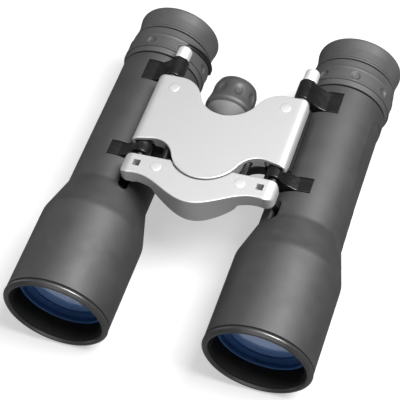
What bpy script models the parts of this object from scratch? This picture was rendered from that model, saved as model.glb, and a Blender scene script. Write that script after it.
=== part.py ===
"""Compact roof-prism binoculars with two hinge rods and a central focus knob.

The object lies on its objective rims and eyecups, with the bridge on top. +Z is up, the
eyepieces point to +Y and the objectives to -Y. Left and right are the user's: a person who
looks towards -Y through the eyepieces has the left barrel at +X.

Sizes are in millimetres here and become metres where a mesh is made. A place is given as
x, station and height: the station runs back from the front of the rims, and the height is
measured from the barrel axes. The origin is under the middle of the object.
"""
import math

import bmesh
import bpy
from mathutils import Vector

MM = 0.001
SIDES = {"left": 1, "right": -1}

# Driving dimensions
LENGTH = 137.5
RIM_RADIUS = 20.0
BELL_RADIUS = 19.6
BARREL_RADIUS = 15.6
AXIS_X = 37.15
ROD_X = 25.3
ROD_HEIGHT = 17.3
ROD_RADIUS = 1.9
ROD_CAP_RADIUS = 3.0
KNUCKLE_RADIUS = 3.5
ARMOUR_THICKNESS = 1.0
TUBE_THICKNESS = 0.9
GAP = 0.3

# Stations of the barrels
SHOULDER = 40.6
WAIST = 50.6
SEAM = 113.6
FRONT_BRACKET = (62.9, 68.6)
REAR_BRACKET = (100.5, 109.5)
SLOT = (49.9, 58.2)
SLOT_WIDTH = 4.0

# The brackets' feet, their angles up from outwards about the barrel's axis
FOOT_INSIDE = BARREL_RADIUS - ARMOUR_THICKNESS
FOOT_OUTSIDE = BARREL_RADIUS - 0.4
FOOT_ANGLES = (85.2, 138.8)
CUTOUT_MARGIN = 1.2

# The bridge, seen from above
NOTCH_STATION = 96.2
NOTCH_RADIUS = 11.8
CHEEK_CENTRE = (20.5, 87.9)
TONGUE_STATION = 68.1
TONGUE_RADIUS = 13.55
BAY_CENTRE = (20.2, 59.7)
BRIDGE_REAR = 98.2
REAR_CORNER = 2.2
BRIDGE_CORNER = 65.4
BRIDGE_SIDE = 30.2
BRIDGE_RISE = 5.1
BRIDGE_DROP = 4.2
BRIDGE_SPLIT = 0.2
BRIDGE_SKIN = 1.5

# The focus drive
SCREW_RADIUS = 1.9
NUT_RADIUS = 3.2
BUSH_RADIUS = 3.4
KNOB_START = 85.3
ARM_FRONT = 43.5
ARM_WAVE = 7.8
ARM_WAVE_WIDTH = 22.5
ARM_CORNER = 3.5
ARM_CORNER_REAR = 54.0
ARM_EDGE_HEIGHT = 18.2
ARM_REAR = 59.8
ARM_END = 28.9
ARM_TOP = 22.6
ARM_UNDERSIDE = 16.9
ARM_BOWL = (16.0, 6.0)
TONGUE_CLEARANCE = 0.7
EYE_RADIUS = 3.2
FINGER = (55.0, 57.6)
FINGER_WIDTH = 2.4
PIN_X = 15.2
PIN_HEIGHT = 19.5
PIN_RADIUS = 1.2
COVER_SCREW = (21.5, 92.7)
ARM_SCREW = (15.7, 55.7)
SCREW_HEAD_RADIUS = 2.0
SCREW_SHANK_RADIUS = 0.8
SCREW_HEAD_DEPTH = 0.5
SCREW_DOME = 0.6

# Round pieces: how many flats each size of circle has
LARGE = 32
MEDIUM = 20
SMALL = 16

FINISHES = {
    "armour_rubber": ((0.10, 0.10, 0.105), 0.55, 0.0),
    "eyecup_rubber": ((0.11, 0.11, 0.115), 0.60, 0.0),
    "black_plastic": ((0.012, 0.012, 0.013), 0.30, 0.0),
    "tube_plastic": ((0.03, 0.03, 0.03), 0.50, 0.0),
    "rim_plastic": ((0.03, 0.03, 0.032), 0.22, 0.0),
    "base_plastic": ((0.16, 0.16, 0.165), 0.45, 0.0),
    "silver": ((0.72, 0.72, 0.73), 0.32, 0.85),
    "cap_silver": ((0.85, 0.85, 0.85), 0.30, 0.70),
    "steel": ((0.55, 0.55, 0.56), 0.28, 1.0),
    "brass": ((0.65, 0.48, 0.22), 0.30, 1.0),
    "coated_glass": ((0.03, 0.09, 0.22), 0.05, 0.0),
    "clear_glass": ((0.80, 0.85, 0.88), 0.03, 0.0),
}


def place(x, station, height):
    """A place on the object, as a point in metres."""
    return Vector((x, station - LENGTH / 2, height + RIM_RADIUS)) * MM


def curve(centre, radii, start, end, steps):
    """Points along an arc of a circle or an ellipse, its angles in degrees."""
    points = []
    for step in range(steps + 1):
        angle = math.radians(start + (end - start) * step / steps)
        points.append((centre[0] + radii[0] * math.cos(angle),
                       centre[1] + radii[1] * math.sin(angle)))
    return points


def arc(centre, radius, start, end, steps):
    """Points along a circular arc, its angles in degrees."""
    return curve(centre, (radius, radius), start, end, steps)


def bend(start, control, end, steps):
    """Points along a smooth bend from start to end that leans towards control."""
    points = []
    for step in range(steps + 1):
        t = step / steps
        weights = ((1 - t) ** 2, 2 * t * (1 - t), t * t)
        points.append(tuple(weights[0] * a + weights[1] * b + weights[2] * c
                            for a, b, c in zip(start, control, end)))
    return points


def both_halves(half):
    """The closed outline whose right half is given, from front to back or bottom to top."""
    return half + [(-x, y) for x, y in reversed(half) if x > GAP]


def turned(profile, centre, flats):
    """A solid turned about a line along Y: the profile holds (station, radius) points."""
    bm = bmesh.new()
    verts = [bm.verts.new(place(centre[0] + radius, station, centre[1]))
             for station, radius in profile]
    edges = [bm.edges.new(pair) for pair in zip(verts, verts[1:])]
    if profile[0][1] > 0:
        edges.append(bm.edges.new((verts[-1], verts[0])))
    bmesh.ops.spin(bm, geom=verts + edges, cent=place(centre[0], 0, centre[1]),
                   axis=(0, 1, 0), angle=math.tau, steps=flats, use_merge=True)
    bmesh.ops.remove_doubles(bm, verts=bm.verts, dist=1e-7)
    bmesh.ops.recalc_face_normals(bm, faces=bm.faces)
    return bm


def cylinder(centre, radius, start, end, flats=SMALL):
    """A plain round bar along Y."""
    return turned([(start, 0), (start, radius), (end, radius), (end, 0)], centre, flats)


def extruded(outline, low, high, to_place):
    """A solid with one outline from low to high; to_place says which way that is."""
    bm = bmesh.new()
    face = bm.faces.new([bm.verts.new(to_place(a, b, low)) for a, b in outline])
    rise = to_place(0, 0, high) - to_place(0, 0, low)
    copy = bmesh.ops.extrude_face_region(bm, geom=[face])
    moved = [item for item in copy["geom"] if isinstance(item, bmesh.types.BMVert)]
    bmesh.ops.translate(bm, verts=moved, vec=rise)
    bmesh.ops.recalc_face_normals(bm, faces=bm.faces)
    return bm


def plate(outline, low, high):
    """A plate whose outline of (x, station) points stands from low to high."""
    return extruded(outline, low, high, lambda a, b, c: place(a, b, c))


def section(outline, start, end):
    """A bar whose section of (x, height) points runs along the barrels."""
    return extruded(outline, start, end, lambda a, b, c: place(a, c, b))


def block(x, station, height):
    """A box between three pairs of limits."""
    corners = [(x[0], station[0]), (x[1], station[0]), (x[1], station[1]), (x[0], station[1])]
    return plate(corners, height[0], height[1])


def make_finishes():
    """One material for each finish."""
    finishes = {}
    for name, (colour, roughness, metallic) in FINISHES.items():
        material = bpy.data.materials.new(name)
        material.use_nodes = True
        shader = material.node_tree.nodes["Principled BSDF"]
        shader.inputs["Base Color"].default_value = (*colour, 1)
        shader.inputs["Roughness"].default_value = roughness
        shader.inputs["Metallic"].default_value = metallic
        finishes[name] = material
    return finishes


def make_pivot(name, at, parent=None):
    """An empty on a joint's axis, which carries the pieces that move with that joint."""
    pivot = bpy.data.objects.new(name, None)
    pivot.empty_display_size = 5 * MM
    pivot.parent = parent
    pivot.location = at - (world_origin(parent) if parent else Vector())
    bpy.context.scene.collection.objects.link(pivot)
    return pivot


def world_origin(item):
    """Where an item that is only moved, never turned, has its origin."""
    origin = item.location.copy()
    while item.parent:
        item = item.parent
        origin += item.location
    return origin


def make_object(name, bm, pivot):
    """An object on a pivot, made from a mesh in the object's overall places."""
    bmesh.ops.translate(bm, verts=bm.verts, vec=-world_origin(pivot))
    mesh = bpy.data.meshes.new(name)
    bm.to_mesh(mesh)
    bm.free()
    item = bpy.data.objects.new(name, mesh)
    item.parent = pivot
    bpy.context.scene.collection.objects.link(item)
    return item


def add_piece(name, bm, finish, pivot):
    """A named piece with its finish, smooth where it is round."""
    piece = make_object(name, bm, pivot)
    piece.data.materials.append(finish)
    piece.data.shade_smooth()
    piece.data.set_sharp_from_angle(angle=math.radians(35))
    return piece


def shape(piece, operation, bm):
    """Join a shape to a piece, cut it out of it, or keep only what lies inside it."""
    tool = make_object(piece.name + "_" + operation.lower(), bm, piece.parent)
    tool.display_type = "WIRE"
    tool.hide_render = True
    modifier = piece.modifiers.new(tool.name, "BOOLEAN")
    modifier.operation = operation
    modifier.solver = "EXACT"
    modifier.object = tool


def barrel_profile(inset):
    """The barrel's outside from the rim to the seam, moved inwards by inset."""
    outside = [(2.5, BELL_RADIUS), (37.5, BELL_RADIUS), (SHOULDER, BELL_RADIUS - 0.85),
               (WAIST, BARREL_RADIUS + 0.4), (54.0, BARREL_RADIUS),
               (SEAM - GAP, BARREL_RADIUS)]
    return [(station, radius - inset) for station, radius in outside]


def shell_profile(outer_inset, thickness):
    """A barrel-shaped skin of even thickness."""
    outside = barrel_profile(outer_inset)
    inside = barrel_profile(outer_inset + thickness)
    return outside + inside[::-1]


def axis_of(side):
    """The barrel's axis, as x and height."""
    return (SIDES[side] * AXIS_X, 0.0)


def rod_of(side):
    """The hinge rod's axis, as x and height."""
    return (SIDES[side] * ROD_X, ROD_HEIGHT)


def mirrored(outline, side):
    """An outline drawn for the left side, put on the given side."""
    return [(SIDES[side] * x, y) for x, y in outline]


def sector(inner, outer, start, end, steps, side):
    """A slice of a ring about a barrel's axis, its angles up from outwards."""
    centre = (AXIS_X, 0.0)
    outline = arc(centre, outer, start, end, steps) + arc(centre, inner, end, start, steps)
    return mirrored(outline, side)


def spoke_place(side):
    """Places in the plane through a barrel's axis and its hinge rod.

    The first number is a station, the second a distance from the barrel's axis towards the
    rod, and the third a distance across.
    """
    towards = Vector((-SIDES[side] * (AXIS_X - ROD_X), ROD_HEIGHT)).normalized()
    across = Vector((towards.y, -towards.x))

    def to_place(station, out, sideways):
        spot = towards * out + across * sideways
        return place(SIDES[side] * AXIS_X + spot.x, station, spot.y)
    return to_place


def bracket_section(side):
    """A hinge bracket from the front: knuckle, web and a foot curved to the barrel."""
    axis = (AXIS_X, 0.0)
    rod = (ROD_X, ROD_HEIGHT)
    foot = arc(axis, FOOT_OUTSIDE, FOOT_ANGLES[0], 102, 3)
    knuckle = arc(rod, KNUCKLE_RADIUS, 52, 250, 14)
    web_top = bend(foot[-1], (29.4, 16.6), knuckle[0], 5)
    foot_end = arc(axis, FOOT_OUTSIDE, FOOT_ANGLES[1], FOOT_ANGLES[1], 1)[0]
    underside = arc(axis, FOOT_INSIDE, FOOT_ANGLES[1], FOOT_ANGLES[0], 8)
    outline = foot + web_top[1:-1] + knuckle + [foot_end] + underside
    return mirrored(outline, side)


def add_barrel_skin(side, finishes, pivot):
    """The tube and the rubber armour around it, open for the brackets and the focus slot."""
    skins = [
        add_piece(side + "_barrel_tube",
                  turned(shell_profile(ARMOUR_THICKNESS + GAP, TUBE_THICKNESS),
                         axis_of(side), MEDIUM),
                  finishes["tube_plastic"], pivot),
        add_piece(side + "_barrel_armour",
                  turned(shell_profile(0, ARMOUR_THICKNESS), axis_of(side), LARGE),
                  finishes["armour_rubber"], pivot),
    ]
    half_width = SLOT_WIDTH / 2
    slot = [(SLOT[0], 11.0), (SLOT[1], 11.0), (SLOT[1], 19.0), (SLOT[0], 19.0)]
    for skin in skins:
        shape(skin, "DIFFERENCE", extruded(slot, -half_width, half_width, spoke_place(side)))
    cutout = sector(FOOT_INSIDE - 0.2, RIM_RADIUS, FOOT_ANGLES[0] - CUTOUT_MARGIN,
                    FOOT_ANGLES[1] + CUTOUT_MARGIN, 8, side)
    for start, end in (FRONT_BRACKET, REAR_BRACKET):
        shape(skins[1], "DIFFERENCE", section(cutout, start - GAP, end + GAP))


def add_brackets(side, finishes, pivot):
    """The two hinge brackets that hold a barrel on its rod."""
    for name, (start, end) in (("front", FRONT_BRACKET), ("rear", REAR_BRACKET)):
        bracket = add_piece(side + "_" + name + "_bracket",
                            section(bracket_section(side), start, end),
                            finishes["black_plastic"], pivot)
        bore = cylinder(rod_of(side), ROD_RADIUS + GAP, start - 1, end + 1)
        shape(bracket, "DIFFERENCE", bore)


def add_rim(side, finishes, pivot):
    """The beaded ring at the front, with a short neck inside the tube."""
    profile = [(0.9, 16.65), (0.0, 17.9), (0.0, 18.7), (1.1, RIM_RADIUS), (2.2, 19.4),
               (2.2, 16.95), (4.7, 16.95), (4.7, 16.3), (1.6, 16.3)]
    add_piece(side + "_objective_rim", turned(profile, axis_of(side), LARGE),
              finishes["rim_plastic"], pivot)


def lens_profile(front, edge, back, radius):
    """A lens from its front pole round its edge to its back pole."""
    steps = 2
    front_face = [(front + (edge[0] - front) * (step / steps) ** 2, radius * step / steps)
                  for step in range(steps + 1)]
    back_face = [(back + (edge[1] - back) * (step / steps) ** 2, radius * step / steps)
                 for step in range(steps, -1, -1)]
    return front_face + back_face


def add_objective(side, finishes, pivot):
    """The focusing group: a cell with its lens, and the link that the focus arm moves."""
    cell = [(9.1, 16.4), (9.1, 16.95), (17.0, 16.95), (17.0, 15.4), (15.9, 15.4),
            (15.9, 16.4)]
    add_piece(side + "_objective_cell", turned(cell, axis_of(side), MEDIUM),
              finishes["tube_plastic"], pivot)
    add_piece(side + "_objective_lens",
              turned(lens_profile(8.1, (8.9, 15.6), 16.4, 16.1), axis_of(side), MEDIUM),
              finishes["coated_glass"], pivot)
    tip = math.hypot(AXIS_X - ROD_X, ROD_HEIGHT) - ROD_RADIUS - GAP
    outline = [(17.3, 11.2), (FINGER[1], 11.2), (FINGER[1], tip), (FINGER[0], tip),
               (FINGER[0], 12.8), (19.0, 12.8), (19.0, 16.8), (17.3, 16.8)]
    add_piece(side + "_focus_link",
              extruded(outline, -FINGER_WIDTH / 2, FINGER_WIDTH / 2, spoke_place(side)),
              finishes["black_plastic"], pivot)


def add_prisms(side, finishes, pivot):
    """The cage in the barrel with its two prisms, an air gap between their slanted faces."""
    cage = [(70.0, 9.0), (70.0, 13.0), (99.0, 13.0), (99.0, 11.9), (71.1, 11.9),
            (71.1, 9.0)]
    add_piece(side + "_prism_cage", turned(cage, axis_of(side), MEDIUM),
              finishes["tube_plastic"], pivot)
    x = SIDES[side] * AXIS_X
    half_prism = [(72.5, -8.0), (84.8, -8.0), (78.2, 8.0), (72.5, 8.0)]
    roof_prism = [(85.5, -8.0), (96.5, -3.5), (96.5, 8.0), (78.9, 8.0)]
    for name, outline in (("half_prism", half_prism), ("roof_prism", roof_prism)):
        solid = extruded(outline, x - 7.0, x + 7.0, lambda a, b, c: place(c, a, b))
        add_piece(side + "_" + name, solid, finishes["clear_glass"], pivot)


def add_ocular(side, finishes, pivot):
    """The eyepiece tube with its field lens and eye lens."""
    tube = [(104.0, 10.9), (104.0, 13.0), (130.4, 13.0), (130.4, 10.9)]
    add_piece(side + "_ocular_tube", turned(tube, axis_of(side), MEDIUM),
              finishes["tube_plastic"], pivot)
    lenses = (("field_lens", lens_profile(105.6, (107.4, 109.6), 111.0, 10.5)),
              ("eye_lens", lens_profile(124.4, (125.8, 129.1), 129.6, 10.5)))
    for name, profile in lenses:
        add_piece(side + "_" + name, turned(profile, axis_of(side), MEDIUM),
                  finishes["coated_glass"], pivot)


def add_grip_ring(side, finishes, pivot):
    """The ridged ring behind the seam; on the right it sets the dioptre."""
    profile = [(SEAM + GAP, 13.4), (SEAM + GAP, 15.7), (116.0, 15.95), (116.5, 16.5),
               (122.4, 16.6), (123.0, 16.3), (126.3, 16.2), (126.3, 13.4)]
    add_piece(side + "_grip_ring", turned(profile, axis_of(side), LARGE),
              finishes["eyecup_rubber"], pivot)


def add_eyecup(side, finishes, pivot):
    """The flared eyecup, and the black ring that stands in the groove in front of it."""
    ring = [(127.0, 13.4), (127.0, 15.8), (128.0, 15.8), (128.0, 13.4)]
    add_piece(side + "_stop_ring", turned(ring, axis_of(side), LARGE),
              finishes["black_plastic"], pivot)
    profile = [(128.3, 13.4), (128.3, 15.3), (132.5, 15.7), (136.6, 16.4), (LENGTH, 15.9),
               (LENGTH, 13.0), (131.8, 11.4), (131.8, 9.6), (130.7, 9.6), (130.7, 13.4)]
    add_piece(side + "_eyecup", turned(profile, axis_of(side), LARGE),
              finishes["eyecup_rubber"], pivot)


def bridge_outline():
    """The bridge from above: a tongue in front, two bays, two cheeks and the knob notch."""
    tongue = Vector((0, TONGUE_STATION))
    bay = Vector(BAY_CENTRE)
    notch = Vector((0, NOTCH_STATION))
    cheek = Vector(CHEEK_CENTRE)
    bay_radius = (bay - tongue).length - TONGUE_RADIUS
    cheek_radius = (cheek - notch).length - NOTCH_RADIUS
    bay_lean = math.degrees(math.atan2(bay.y - tongue.y, bay.x - tongue.x))
    cheek_lean = math.degrees(math.atan2(cheek.y - notch.y, cheek.x - notch.x))
    half = arc(tongue, TONGUE_RADIUS, -90, bay_lean, 7)
    half += arc(bay, bay_radius, 180 + bay_lean, 78, 6)[1:]
    half += [(BRIDGE_SIDE, BRIDGE_CORNER)]
    half += arc((BRIDGE_SIDE - REAR_CORNER, BRIDGE_REAR - REAR_CORNER), REAR_CORNER, 0, 90, 4)
    half += arc(cheek, cheek_radius, 90, 180 + cheek_lean, 5)
    half += arc(notch, NOTCH_RADIUS, cheek_lean, -90, 7)[1:]
    return both_halves(half)


def bridge_section():
    """The bridge from the front: flat above and below, rounded about the rods."""
    corner = BRIDGE_SIDE - ROD_X + 0.2
    half = curve((ROD_X, ROD_HEIGHT), (corner, BRIDGE_DROP), -90, 0, 5)
    half += curve((ROD_X, ROD_HEIGHT), (corner, BRIDGE_RISE), 0, 90, 5)[1:]
    return both_halves(half)


def bridge_pocket():
    """The hollow inside the bridge, from above."""
    half = [(7.4, 58.4), (11.0, 63.0), (12.6, 66.6), (12.6, 70.3), (27.6, 70.3),
            (27.6, 87.5), (12.4, 87.5), (9.5, 82.8)]
    return both_halves(half)


def open_bridge_half(piece, pocket):
    """Cut the hollow, the shaft and rod bores, and the room for the front knuckles."""
    shape(piece, "DIFFERENCE", plate(bridge_pocket(), pocket[0], pocket[1]))
    centre = (0, ROD_HEIGHT)
    shape(piece, "DIFFERENCE", cylinder(centre, BUSH_RADIUS + GAP, 72.8, 90.0, MEDIUM))
    shape(piece, "DIFFERENCE", cylinder(centre, SCREW_RADIUS + GAP, 50.0, 60.0))
    for side in SIDES:
        shape(piece, "DIFFERENCE", cylinder(rod_of(side), ROD_RADIUS + GAP, 60.0, 104.0))
        knuckle_room = sorted((SIDES[side] * 20.9, SIDES[side] * 34.0))
        shape(piece, "DIFFERENCE",
              block(knuckle_room, (60.0, FRONT_BRACKET[1] + GAP),
                    (8.0, ROD_HEIGHT + KNUCKLE_RADIUS + GAP)))


def screw_profile(top, bottom):
    """A domed screw head with its shank, as (height, radius) points from the top down."""
    head = [(top + SCREW_DOME * (1 - (step / 3) ** 2), SCREW_HEAD_RADIUS * step / 3)
            for step in range(4)]
    seat = top - SCREW_HEAD_DEPTH
    return head + [(seat, SCREW_HEAD_RADIUS), (seat, SCREW_SHANK_RADIUS),
                   (bottom, SCREW_SHANK_RADIUS), (bottom, 0)]


def upright(profile, x, station, flats):
    """A solid turned about an upright line: the profile holds (height, radius) points."""
    bm = bmesh.new()
    verts = [bm.verts.new(place(x + radius, station, height)) for height, radius in profile]
    edges = [bm.edges.new(pair) for pair in zip(verts, verts[1:])]
    bmesh.ops.spin(bm, geom=verts + edges, cent=place(x, station, 0), axis=(0, 0, 1),
                   angle=math.tau, steps=flats, use_merge=True)
    bmesh.ops.remove_doubles(bm, verts=bm.verts, dist=1e-7)
    bmesh.ops.recalc_face_normals(bm, faces=bm.faces)
    return bm


def screw_hole(x, station, top, bottom):
    """The counterbore and the hole for a domed screw."""
    seat = top - SCREW_HEAD_DEPTH - GAP
    profile = [(top + 2, 0), (top + 2, SCREW_HEAD_RADIUS + GAP),
               (seat, SCREW_HEAD_RADIUS + GAP), (seat, SCREW_SHANK_RADIUS + GAP),
               (bottom - GAP, SCREW_SHANK_RADIUS + GAP), (bottom - GAP, 0)]
    return upright(profile, x, station, SMALL)


def add_bridge(finishes, pivot):
    """The silver cover, the base under it and the screws that hold them together."""
    top = ROD_HEIGHT + BRIDGE_RISE
    split = ROD_HEIGHT + BRIDGE_SPLIT
    bottom = ROD_HEIGHT - BRIDGE_DROP
    cover = add_piece("bridge_cover", plate(bridge_outline(), split + GAP / 2, top + 1),
                      finishes["silver"], pivot)
    base = add_piece("bridge_base", plate(bridge_outline(), bottom - 1, split - GAP / 2),
                     finishes["base_plastic"], pivot)
    pockets = {cover: (bottom, top - BRIDGE_SKIN), base: (bottom + BRIDGE_SKIN, top)}
    for piece, pocket in pockets.items():
        shape(piece, "INTERSECT", section(bridge_section(), 50.0, 104.0))
        open_bridge_half(piece, pocket)
    shank_end = bottom + BRIDGE_SKIN
    for side, sign in SIDES.items():
        x = sign * COVER_SCREW[0]
        hole = (x, COVER_SCREW[1], top, shank_end)
        shape(cover, "DIFFERENCE", screw_hole(*hole))
        shape(base, "DIFFERENCE", screw_hole(*hole))
        shape(cover, "DIFFERENCE",
              cylinder((sign * PIN_X, PIN_HEIGHT), PIN_RADIUS + GAP, 60.0, 72.0))
        add_piece(side + "_cover_screw",
                  upright(screw_profile(top, shank_end), x, COVER_SCREW[1], SMALL),
                  finishes["silver"], pivot)
    bush = [(76.0, SCREW_RADIUS + GAP), (76.0, BUSH_RADIUS), (KNOB_START - GAP, BUSH_RADIUS),
            (KNOB_START - GAP, SCREW_RADIUS + GAP)]
    add_piece("focus_bush", turned(bush, (0, ROD_HEIGHT), SMALL), finishes["brass"], pivot)


def add_rods(side, finishes, pivot):
    """A hinge rod with its end cap, and the friction washer behind the bridge."""
    step = REAR_BRACKET[1]
    rod = [(52.8, 0), (52.8, ROD_RADIUS), (step, ROD_RADIUS), (step, 1.2), (113.0, 1.2),
           (113.0, 0)]
    add_piece(side + "_hinge_rod", turned(rod, rod_of(side), SMALL), finishes["steel"], pivot)
    cap = [(113.3, 0), (113.3, 1.5), (step + GAP, 1.5), (step + GAP, ROD_CAP_RADIUS),
           (115.0, ROD_CAP_RADIUS), (115.9, 2.1), (115.9, 0)]
    add_piece(side + "_rod_cap", turned(cap, rod_of(side), SMALL), finishes["cap_silver"],
              pivot)
    washer = [(BRIDGE_REAR + GAP, ROD_RADIUS + GAP), (BRIDGE_REAR + GAP, 3.2),
              (REAR_BRACKET[0] - GAP, 3.2), (REAR_BRACKET[0] - GAP, ROD_RADIUS + GAP)]
    add_piece(side + "_friction_washer", turned(washer, rod_of(side), SMALL),
              finishes["steel"], pivot)


def add_knob(finishes, pivot):
    """The focus knob on its screw: a core, a rubber grip round it and an end cap."""
    centre = (0, ROD_HEIGHT)
    screw = [(46.2, 0), (46.2, SCREW_RADIUS), (73.4, SCREW_RADIUS), (73.4, 3.1),
             (75.7, 3.1), (75.7, SCREW_RADIUS), (97.0, SCREW_RADIUS), (97.0, 0)]
    add_piece("focus_screw", turned(screw, centre, SMALL), finishes["steel"], pivot)
    core = [(KNOB_START, SCREW_RADIUS + GAP), (KNOB_START, 3.8), (88.0, 5.5), (98.6, 5.5),
            (98.6, SCREW_RADIUS + GAP)]
    add_piece("knob_core", turned(core, centre, MEDIUM), finishes["black_plastic"], pivot)
    grip = [(88.0, 5.9), (KNOB_START + 0.6, 4.6), (89.5, 8.8), (90.3, 9.1), (93.0, 8.5),
            (99.2, 8.1), (100.8, 7.6), (101.4, 6.8), (101.4, 5.9)]
    add_piece("knob_grip", turned(grip, centre, LARGE), finishes["eyecup_rubber"], pivot)
    cap = [(98.9, 0), (98.9, 5.6), (101.2, 5.6), (101.6, 5.0), (101.6, 0)]
    add_piece("knob_cap", turned(cap, centre, MEDIUM), finishes["eyecup_rubber"], pivot)


def arm_outline():
    """The focus arm from above: a wave in front, two ends and a bay round the tongue."""
    steps = 10
    half = []
    inner_end = ARM_END - ARM_CORNER
    for step in range(steps + 1):
        x = inner_end * step / steps
        wave = (1 - math.cos(math.pi * x / ARM_WAVE_WIDTH)) / 2
        half.append((x, ARM_FRONT + ARM_WAVE * wave))
    corner_depth = ARM_CORNER_REAR - half[-1][1]
    half += curve((inner_end, ARM_CORNER_REAR), (ARM_CORNER, corner_depth), -90, 0, 4)[1:]
    half += arc((ARM_END - 1.6, ARM_REAR - 1.6), 1.6, 0, 90, 3)
    clear_radius = TONGUE_RADIUS + TONGUE_CLEARANCE
    lean = -math.degrees(math.asin((TONGUE_STATION - ARM_REAR) / clear_radius))
    half += arc((0, TONGUE_STATION), clear_radius, lean, -90, 7)
    return both_halves(half)


def arm_section():
    """The focus arm from the front: a bowl under the nut, flat wings and rounded ends."""
    half = curve((0, ROD_HEIGHT), ARM_BOWL, -84, -18, 6)
    half += [(16.4, ARM_UNDERSIDE), (ARM_END + 0.5, ARM_UNDERSIDE)]
    half += curve((ARM_END - ARM_CORNER, ARM_EDGE_HEIGHT),
                  (ARM_CORNER + 0.5, ARM_TOP - ARM_EDGE_HEIGHT), 0, 90, 4)
    return both_halves(half)


def add_arm(finishes, pivot):
    """The focus arm with its nut, guide pins and the screws that hold the pins."""
    arm = add_piece("focus_arm", plate(arm_outline(), 8.0, 26.0), finishes["silver"], pivot)
    shape(arm, "INTERSECT", section(arm_section(), 40.0, 64.0))
    for side, sign in SIDES.items():
        rod = rod_of(side)
        shape(arm, "UNION", cylinder(rod, EYE_RADIUS, 53.0, FINGER[0] - GAP))
        shape(arm, "UNION", cylinder(rod, EYE_RADIUS, FINGER[1] + GAP, ARM_REAR - 0.2))
        window = sorted((sign * 21.6, sign * 24.6))
        shape(arm, "DIFFERENCE", block(window, (54.9, 57.7), (14.0, 25.0)))
        pin = (sign * PIN_X, PIN_HEIGHT)
        shape(arm, "DIFFERENCE", cylinder(pin, PIN_RADIUS + GAP, 53.0, 62.0))
        add_piece(side + "_guide_pin", cylinder(pin, PIN_RADIUS, 53.3, 80.0),
                  finishes["steel"], pivot)
        x = sign * ARM_SCREW[0]
        shank_end = PIN_HEIGHT + PIN_RADIUS + 3 * GAP
        shape(arm, "DIFFERENCE", screw_hole(x, ARM_SCREW[1], ARM_TOP, shank_end))
        add_piece(side + "_arm_screw",
                  upright(screw_profile(ARM_TOP, shank_end), x, ARM_SCREW[1], SMALL),
                  finishes["silver"], pivot)
    centre = (0, ROD_HEIGHT)
    shape(arm, "DIFFERENCE", cylinder(centre, NUT_RADIUS + GAP, 45.6, 56.0, SMALL))
    for side in SIDES:
        shape(arm, "DIFFERENCE", cylinder(rod_of(side), ROD_RADIUS + GAP, 52.5, 64.0))
    nut = [(46.0, SCREW_RADIUS + GAP), (46.0, NUT_RADIUS), (53.2, NUT_RADIUS),
           (53.2, SCREW_RADIUS + GAP)]
    add_piece("focus_nut", turned(nut, centre, SMALL), finishes["brass"], pivot)


def add_barrel(side, finishes, bridge):
    """One barrel on its hinge rod, with its focusing group and its eyepiece."""
    rod = rod_of(side)
    axis = axis_of(side)
    pivot = make_pivot(side + "_hinge", place(rod[0], LENGTH / 2, rod[1]), bridge)
    add_barrel_skin(side, finishes, pivot)
    add_brackets(side, finishes, pivot)
    add_rim(side, finishes, pivot)
    add_prisms(side, finishes, pivot)
    objective = make_pivot(side + "_objective_slide", place(axis[0], 12.0, axis[1]), pivot)
    add_objective(side, finishes, objective)
    ring_pivot = pivot
    ocular_pivot = pivot
    if side == "right":
        ring_pivot = make_pivot("dioptre_turn", place(axis[0], SEAM, axis[1]), pivot)
        ocular_pivot = make_pivot("ocular_slide", place(axis[0], SEAM, axis[1]), pivot)
    add_grip_ring(side, finishes, ring_pivot)
    add_ocular(side, finishes, ocular_pivot)
    add_eyecup(side, finishes, ocular_pivot)


def main():
    """Clear the scene and build every piece."""
    for item in list(bpy.data.objects):
        bpy.data.objects.remove(item)
    finishes = make_finishes()
    bridge = make_pivot("bridge", place(0, LENGTH / 2, ROD_HEIGHT))
    add_bridge(finishes, bridge)
    for side in SIDES:
        add_rods(side, finishes, bridge)
        add_barrel(side, finishes, bridge)
    knob = make_pivot("knob_turn", place(0, KNOB_START, ROD_HEIGHT), bridge)
    add_knob(finishes, knob)
    arm = make_pivot("focus_slide", place(0, ARM_FRONT, ROD_HEIGHT), bridge)
    add_arm(finishes, arm)


main()
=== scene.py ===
"""Looks of the compact binoculars: smooth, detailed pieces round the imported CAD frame.

Sizes are in millimetres and become metres in place(). A place is given as x, station and
height: the station runs back from the front of the rims, and the height is measured from
the barrels' axes. Angles about a barrel run up from its outer side. Left is +X.
"""

import math

import bmesh
import bpy
from mathutils import Matrix, Vector


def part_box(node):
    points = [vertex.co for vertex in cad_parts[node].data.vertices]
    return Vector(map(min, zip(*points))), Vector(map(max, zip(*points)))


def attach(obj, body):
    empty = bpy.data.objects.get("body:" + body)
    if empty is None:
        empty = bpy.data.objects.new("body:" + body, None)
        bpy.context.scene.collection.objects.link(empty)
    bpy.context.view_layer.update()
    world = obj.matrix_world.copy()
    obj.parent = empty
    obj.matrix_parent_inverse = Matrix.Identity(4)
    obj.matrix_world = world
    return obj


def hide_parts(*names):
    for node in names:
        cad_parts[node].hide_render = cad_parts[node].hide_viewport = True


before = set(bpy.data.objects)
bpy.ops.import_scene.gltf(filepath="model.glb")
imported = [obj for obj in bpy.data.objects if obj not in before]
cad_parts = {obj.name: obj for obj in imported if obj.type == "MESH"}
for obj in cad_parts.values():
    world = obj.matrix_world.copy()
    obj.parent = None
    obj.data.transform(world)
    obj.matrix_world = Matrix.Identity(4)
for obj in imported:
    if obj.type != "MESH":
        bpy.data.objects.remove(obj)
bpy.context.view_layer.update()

MM = 0.001
SIDES = {"left": 1, "right": -1}


def centre_of(node):
    """The middle of a CAD node's box in millimetres."""
    low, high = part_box(node)
    return (low + high) / 2 / MM


def half_size_of(node):
    """Half of the size of a CAD node's box in millimetres."""
    low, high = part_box(node)
    return (high - low) / 2 / MM


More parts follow.
